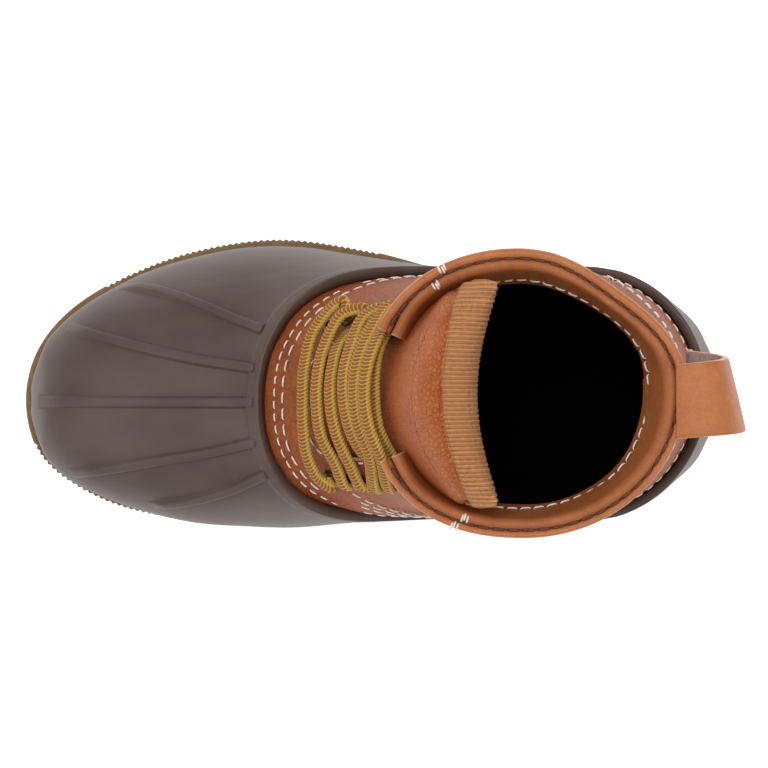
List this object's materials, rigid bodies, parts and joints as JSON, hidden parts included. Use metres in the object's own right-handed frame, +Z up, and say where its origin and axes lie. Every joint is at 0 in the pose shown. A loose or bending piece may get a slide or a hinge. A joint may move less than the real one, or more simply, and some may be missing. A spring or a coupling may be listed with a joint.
{
  "type": "duck boot",
  "caption": "Child's right duck boot: brown moulded rubber bottom with toe ribs, gum outsole, tan leather upper, padded tongue, laces and a heel pull loop.",
  "frame": {"origin": "middle of the boot's box in plan, on the floor that its sole stands on", "axes": "+X forward to the toe, +Y to the inner (medial) side of this right boot, +Z up"},
  "size_m": [0.1899, 0.0794, 0.1214],
  "materials": {
    "gum_rubber": "matte",
    "brown_rubber": "satin",
    "tan_leather": "satin",
    "tongue_leather": "satin",
    "black_lining": "matte",
    "antique_brass": "satin",
    "gold_brown_lace": "matte"
  },
  "bodies": {
    "root": {"outsole": "gum_rubber", "rubber_bottom": "brown_rubber", "upper": "tan_leather", "insole": "black_lining", "tongue": "tongue_leather", "pull_loop": "tan_leather", "eyelet_medial_1": "antique_brass", "eyelet_medial_2": "antique_brass", "eyelet_medial_3": "antique_brass", "eyelet_medial_4": "antique_brass", "eyelet_medial_5": "antique_brass", "eyelet_lateral_1": "antique_brass", "eyelet_lateral_2": "antique_brass", "eyelet_lateral_3": "antique_brass", "eyelet_lateral_4": "antique_brass", "eyelet_lateral_5": "antique_brass", "lace_pass_1": "gold_brown_lace", "lace_pass_2": "gold_brown_lace", "lace_pass_3": "gold_brown_lace", "lace_pass_4": "gold_brown_lace", "lace_pass_5": "gold_brown_lace", "lace_pass_6": "gold_brown_lace"}
  },
  "joints": []
}
